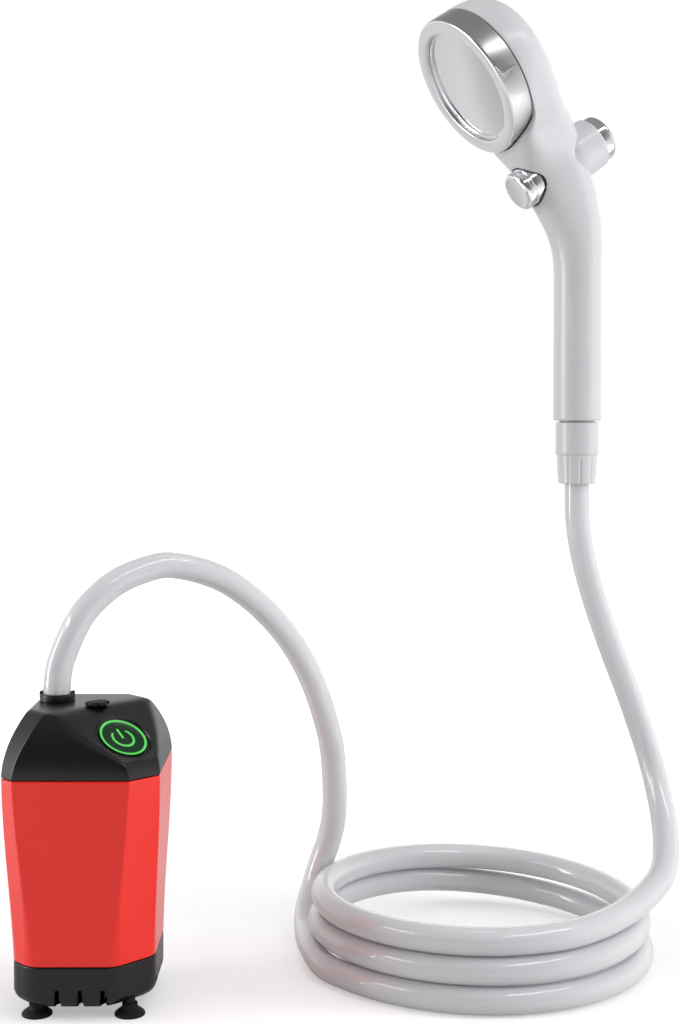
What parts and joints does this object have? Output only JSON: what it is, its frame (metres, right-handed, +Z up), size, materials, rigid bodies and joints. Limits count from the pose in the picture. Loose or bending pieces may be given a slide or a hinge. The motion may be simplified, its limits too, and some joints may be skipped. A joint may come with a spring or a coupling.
{
  "type": "camp shower pump",
  "caption": "Battery camp shower: faceted submersible pump on suction feet, coiled clear hose and a hand shower with a turning spray ring and a push-through stop valve.",
  "frame": {"origin": "on the floor, under the middle of the box round the pump and the hand shower", "axes": "+Z up, +Y away from the viewer of the picture, +X from the pump towards the hand shower"},
  "size_m": [0.327, 0.1812, 0.4865],
  "materials": {
    "red_plastic": "satin",
    "black_plastic": "satin",
    "dark_plastic": "matt",
    "white_gloss": "gloss",
    "pale_plastic": "matt",
    "chrome": "polished",
    "steel": "brushed",
    "black_rubber": "matt",
    "hose_clear": "milky, see-through",
    "cell_wrap": "shrink wrap",
    "board_green": "lacquer",
    "button_dark": "smoked gloss",
    "green_light": "lit"
  },
  "bodies": {
    "shower": {"body_shell": "red_plastic", "top_cap": "black_plastic", "base_cover": "black_plastic", "cap_seal": "black_rubber", "base_screws": "steel", "suction_foot_1": "black_rubber", "suction_foot_2": "black_rubber", "suction_foot_3": "black_rubber", "suction_foot_4": "black_rubber", "filter_cup": "dark_plastic", "volute_housing": "dark_plastic", "volute_cover": "dark_plastic", "shaft_seal": "black_rubber", "motor_can": "steel", "motor_end_cap": "pale_plastic", "cell_cradle": "dark_plastic", "battery_cells": "cell_wrap", "cell_link": "steel", "outlet_riser": "dark_plastic", "outlet_collar": "black_plastic", "button_frame": "black_plastic", "tact_switch": "dark_plastic", "control_board": "board_green", "charge_socket": "steel", "handset_body": "white_gloss", "mode_hub": "pale_plastic", "head_seal": "black_rubber", "centre_screw": "steel", "nut_washer": "black_rubber", "hose_tail": "pale_plastic", "hose_arch": "hose_clear", "hose_coil": "hose_clear", "hose_rise": "hose_clear"},
    "power_button": {"power_button": "button_dark", "button_light": "green_light"},
    "port_plug": {"port_plug": "black_rubber"},
    "rotor": {"impeller": "pale_plastic", "motor_shaft": "steel"},
    "spray_head": {"spray_bezel": "chrome", "spray_plate": "chrome", "flow_disc": "pale_plastic"},
    "stop_valve": {"front_button": "chrome", "valve_spool": "pale_plastic", "spool_seals": "black_rubber", "rear_cap": "chrome"},
    "coupling_nut": {"coupling_nut": "white_gloss"}
  },
  "joints": [
    {"name": "power_button_press", "type": "slide", "parent": "shower", "child": "power_button", "axis": [-0.3954, 0.3954, -0.829], "range_m": [0, 0.0012], "stiffness_N_per_m": 1500},
    {"name": "port_plug_flip", "type": "hinge", "parent": "shower", "child": "port_plug", "pos_m": [-0.11223, -0.04377, 0.1399], "axis": [-0.7071, -0.7071, 0], "range_deg": [0, 110]},
    {"name": "impeller_spin", "type": "hinge", "parent": "shower", "child": "rotor", "pos_m": [-0.114, -0.042, 0.03], "axis": [0, 0, 1], "continuous": true},
    {"name": "spray_mode_turn", "type": "hinge", "parent": "shower", "child": "spray_head", "pos_m": [0.07784, 0.03869, 0.44887], "axis": [-0.7856, -0.2937, -0.5446], "range_deg": [-50, 50]},
    {"name": "stop_valve_push", "type": "slide", "parent": "shower", "child": "stop_valve", "axis": [0.7856, 0.2937, 0.5446], "range_m": [0, 0.008]},
    {"name": "coupling_nut_turn", "type": "hinge", "parent": "shower", "child": "coupling_nut", "pos_m": [0.1295, 0.058, 0.253], "axis": [0, 0, 1], "continuous": true}
  ]
}
